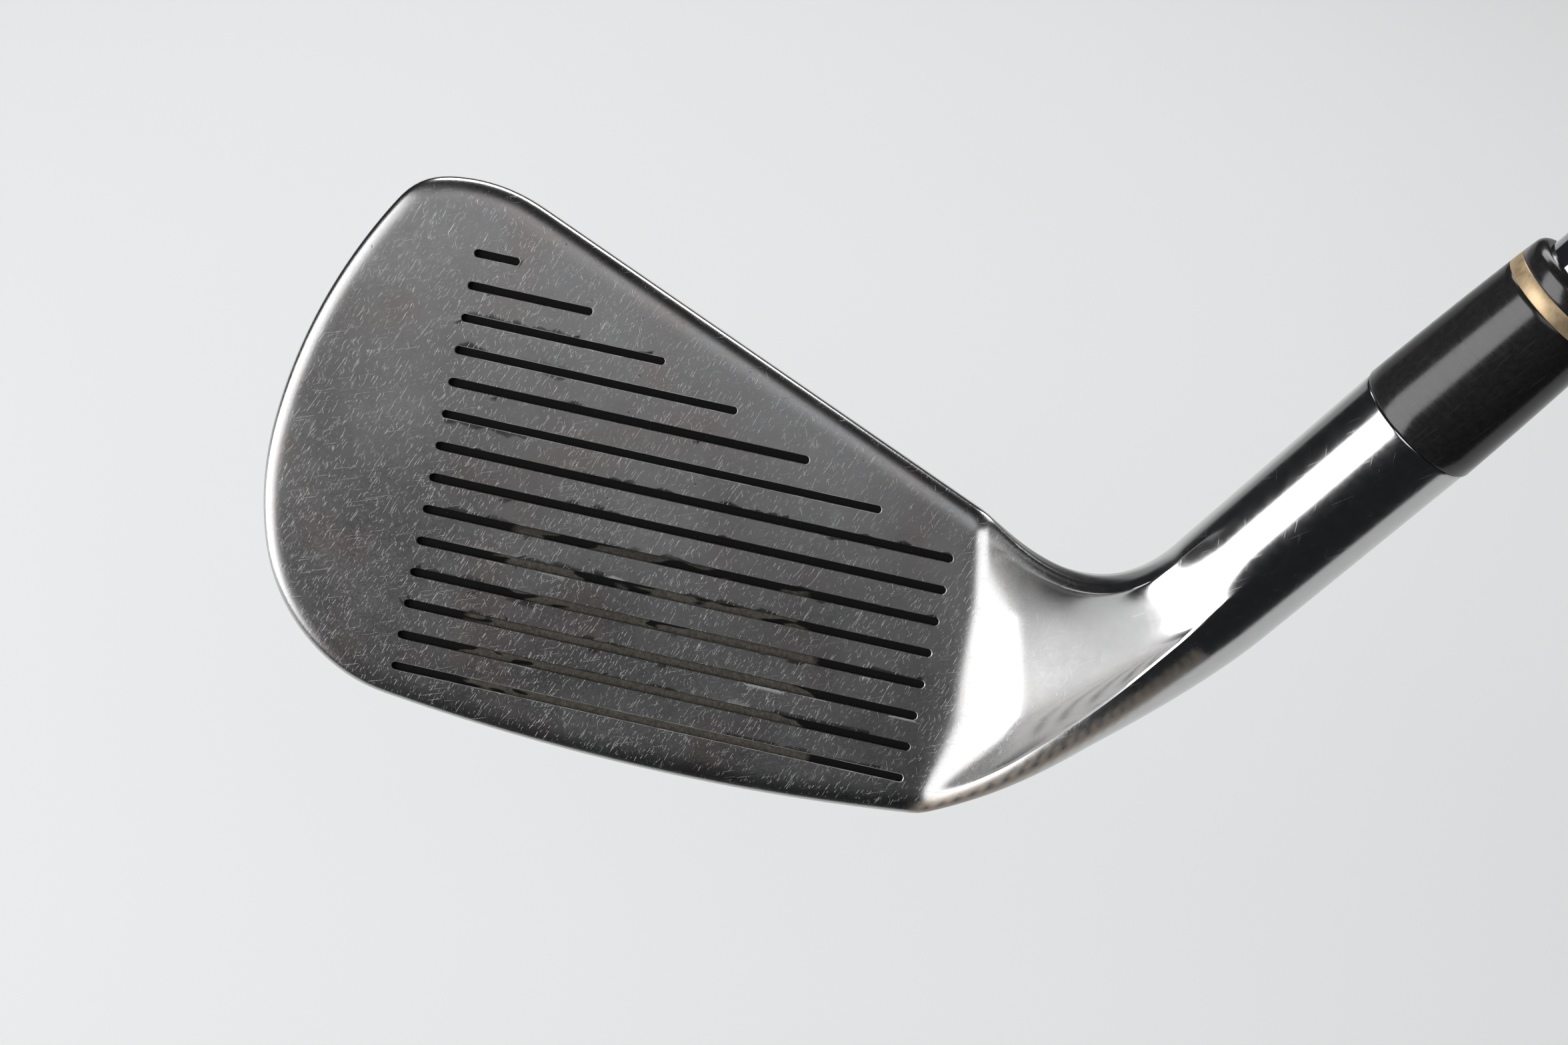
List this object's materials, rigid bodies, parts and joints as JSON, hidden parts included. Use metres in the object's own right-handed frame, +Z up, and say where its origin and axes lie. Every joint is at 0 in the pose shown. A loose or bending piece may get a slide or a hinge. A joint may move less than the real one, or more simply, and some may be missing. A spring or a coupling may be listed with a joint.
{
  "type": "iron golf club",
  "caption": "Right-handed steel-shafted iron: grooved blade head with bored hosel, black ferrule with a gold ring, stepped tubular shaft and tapered rubber grip.",
  "frame": {"origin": "point where the shaft's axis meets the ground in the address position", "axes": "+Z up from the ground the sole rests on; +X along the grooves from toe to heel, the way the shaft leans; the face looks towards -Y and upwards by the loft"},
  "size_m": [0.5385, 0.0452, 0.8464],
  "materials": {
    "head_steel": "worn satin face, polished neck and hosel",
    "epoxy": "set adhesive",
    "weight_brass": "turned",
    "ferrule_black": "satin, fine scuffs",
    "ferrule_gold": "gold-coloured trim",
    "shaft_chrome": "mirror plate",
    "band_film": "plain film, no lettering",
    "tape": "paper tape",
    "grip_rubber": "moulded, matt",
    "cap_rubber": "moulded, matt"
  },
  "bodies": {
    "root": {"head": "head_steel", "hosel_epoxy": "epoxy", "tip_weight": "weight_brass", "ferrule_body": "ferrule_black", "ferrule_ring": "ferrule_gold", "ferrule_cap": "ferrule_black", "shaft": "shaft_chrome", "shaft_band": "band_film", "grip_tape": "tape", "grip_sleeve": "grip_rubber", "grip_cap": "cap_rubber"}
  },
  "joints": []
}
